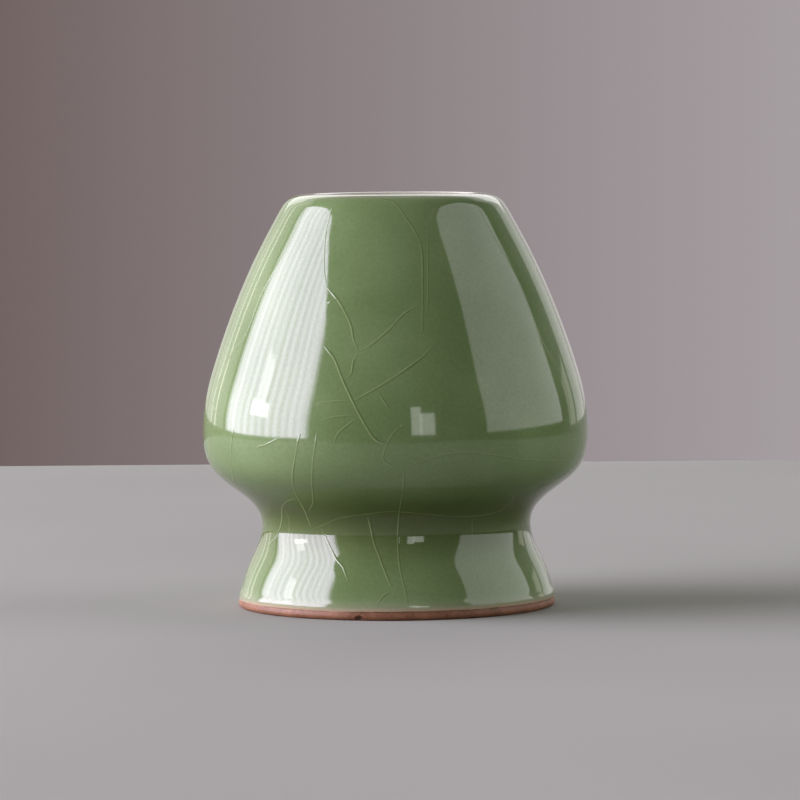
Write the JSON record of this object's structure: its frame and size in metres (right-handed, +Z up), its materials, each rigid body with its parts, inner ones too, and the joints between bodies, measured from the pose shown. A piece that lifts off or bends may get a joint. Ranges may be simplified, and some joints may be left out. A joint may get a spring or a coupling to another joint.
{
  "type": "matcha whisk holder",
  "caption": "Hollow glazed ceramic stand that a bamboo matcha whisk is pulled over to dry: open mouth on top, full belly, pinched waist and open flared foot.",
  "frame": {"origin": "centre of the foot ring's footprint, on the surface the holder stands on", "axes": "+Z up along the axis of revolution; X and Y are alike, with -Y towards the viewer of the picture"},
  "size_m": [0.0654, 0.0654, 0.07],
  "materials": {
    "bare_clay": "unglazed, fired red-brown where it is bare",
    "celadon_glaze": "glossy grey-green celadon with a wide crackle",
    "inner_celadon_glaze": "glossy grey-green celadon, thinner than outside"
  },
  "bodies": {
    "root": {"clay_body": "bare_clay", "outer_glaze": "celadon_glaze", "inner_glaze": "inner_celadon_glaze"}
  },
  "joints": []
}
